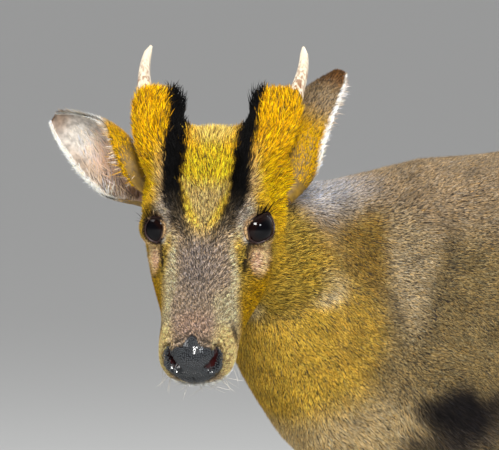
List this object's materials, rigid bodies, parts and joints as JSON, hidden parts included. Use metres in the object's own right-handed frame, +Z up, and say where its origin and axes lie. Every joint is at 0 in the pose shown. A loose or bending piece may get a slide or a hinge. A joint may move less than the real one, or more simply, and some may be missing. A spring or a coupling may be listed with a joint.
{
  "type": "muntjac",
  "caption": "Life-size still model of a small antlered muntjac buck, standing with lowered neck and its head turned to its left.",
  "frame": {"origin": "middle of the bottom of the whole box, on the floor between the feet", "axes": "+Z up, -Y the way the body faces, +X the animal's left"},
  "size_m": [0.1976, 0.7536, 0.5482],
  "materials": {
    "coat": "short brown coat ticked with ochre and black",
    "coat_dark": "short blackish brown leg hair",
    "coat_gold": "bright ochre hair with a black stripe",
    "ear_skin": "thin pinkish skin with pale hair inside and ochre hair behind",
    "nose_leather": "moist pebbled black",
    "eye": "glossy, nearly black",
    "antler": "polished ivory bone with brown streaks at the base",
    "hoof": "satin black horn"
  },
  "bodies": {
    "root": {"head": "coat", "neck": "coat", "trunk": "coat", "tail": "coat", "nose": "nose_leather", "ear_left": "ear_skin", "eye_left": "eye", "pedicle_left": "coat_gold", "antler_left": "antler", "ear_right": "ear_skin", "eye_right": "eye", "pedicle_right": "coat_gold", "antler_right": "antler", "foreleg_left_upper": "coat", "foreleg_left_lower": "coat_dark", "foreleg_left_hoof_a": "hoof", "foreleg_left_dewclaw_a": "hoof", "foreleg_left_hoof_b": "hoof", "foreleg_left_dewclaw_b": "hoof", "foreleg_right_upper": "coat", "foreleg_right_lower": "coat_dark", "foreleg_right_hoof_a": "hoof", "foreleg_right_dewclaw_a": "hoof", "foreleg_right_hoof_b": "hoof", "foreleg_right_dewclaw_b": "hoof", "hindleg_left_upper": "coat", "hindleg_left_lower": "coat_dark", "hindleg_left_hoof_a": "hoof", "hindleg_left_dewclaw_a": "hoof", "hindleg_left_hoof_b": "hoof", "hindleg_left_dewclaw_b": "hoof", "hindleg_right_upper": "coat", "hindleg_right_lower": "coat_dark", "hindleg_right_hoof_a": "hoof", "hindleg_right_dewclaw_a": "hoof", "hindleg_right_hoof_b": "hoof", "hindleg_right_dewclaw_b": "hoof"}
  },
  "joints": []
}
